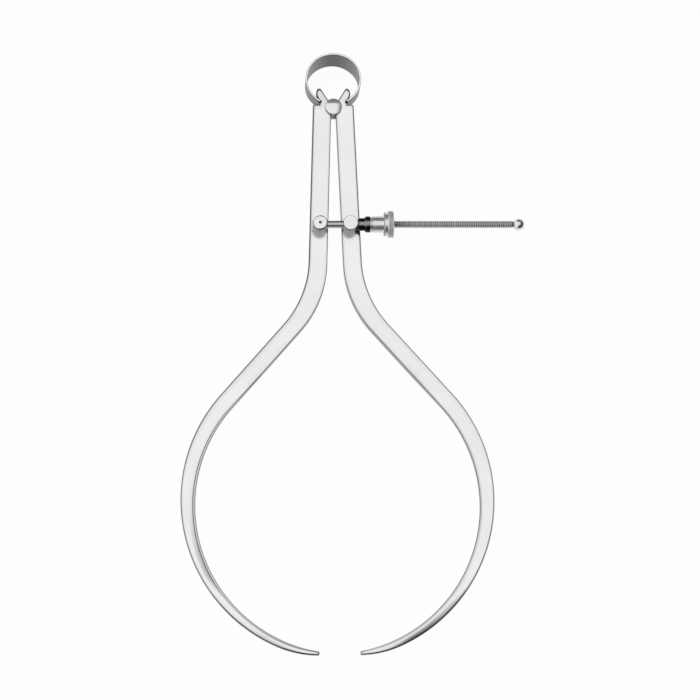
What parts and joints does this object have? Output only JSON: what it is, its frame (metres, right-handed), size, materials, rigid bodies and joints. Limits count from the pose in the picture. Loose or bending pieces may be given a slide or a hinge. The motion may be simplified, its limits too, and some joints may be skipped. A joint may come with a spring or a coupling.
{
  "type": "outside spring caliper",
  "caption": "Bow-legged spring caliper for outside sizes, with a fine adjusting screw and a quick-release nut across the legs.",
  "frame": {"origin": "middle of the bow spring's loop, half way through its width", "axes": "+Z out of the front face, +Y from the measuring tips to the spring, +X along the adjusting screw towards its ball; it lies on its back"},
  "size_m": [0.0955, 0.1681, 0.0125],
  "materials": {
    "leg_steel": "satin ground steel with broken edges",
    "spring_steel": "drawn spring strip, ground edges",
    "stud_steel": "turned and polished steel",
    "screw_steel": "turned steel with a cut thread",
    "nut_steel": "turned steel with a fine knurled flange",
    "black_steel": "black oxide on turned steel"
  },
  "bodies": {
    "left_leg": {"left_leg": "leg_steel", "fulcrum_stud": "stud_steel"},
    "right_leg": {"right_leg": "leg_steel"},
    "bow_spring": {"bow_spring": "spring_steel"},
    "screw": {"screw_post": "stud_steel", "screw_post_washer": "stud_steel", "lock_pin": "screw_steel", "adjusting_screw": "screw_steel", "stop_ball": "nut_steel"},
    "nut_post": {"nut_post": "stud_steel", "nut_post_washer": "stud_steel", "nut_ferrule": "black_steel"},
    "nut": {"split_nut": "nut_steel", "nut_sleeve": "nut_steel"}
  },
  "joints": [
    {"name": "leg_open", "type": "hinge", "parent": "left_leg", "child": "right_leg", "pos_m": [0, -0.00771, 0], "axis": [0, 0, 1], "range_deg": [-4, 55.5], "deforming": ["bow_spring"]},
    {"name": "spring_follow", "type": "hinge", "parent": "left_leg", "child": "bow_spring", "pos_m": [-0.00395, -0.00604, 0], "axis": [0, 0, 1], "range_deg": [-2, 27.75]},
    {"name": "screw_swing", "type": "hinge", "parent": "left_leg", "child": "screw", "pos_m": [-0.0042, -0.04268, 0], "axis": [0, 0, 1], "range_deg": [-2, 27.75]},
    {"name": "nut_post_swing", "type": "hinge", "parent": "right_leg", "child": "nut_post", "pos_m": [0.0042, -0.04268, 0], "axis": [0, 0, 1], "range_deg": [-27.75, 2]},
    {"name": "nut_turn", "type": "hinge", "parent": "nut_post", "child": "nut", "pos_m": [0.0042, -0.04268, 0.0041], "axis": [1, 0, 0], "continuous": true}
  ],
  "couplings": [
    {"joint": "spring_follow", "follows": "leg_open", "ratio": 0.5},
    {"joint": "screw_swing", "follows": "leg_open", "ratio": 0.5},
    {"joint": "nut_post_swing", "follows": "leg_open", "ratio": -0.5}
  ]
}
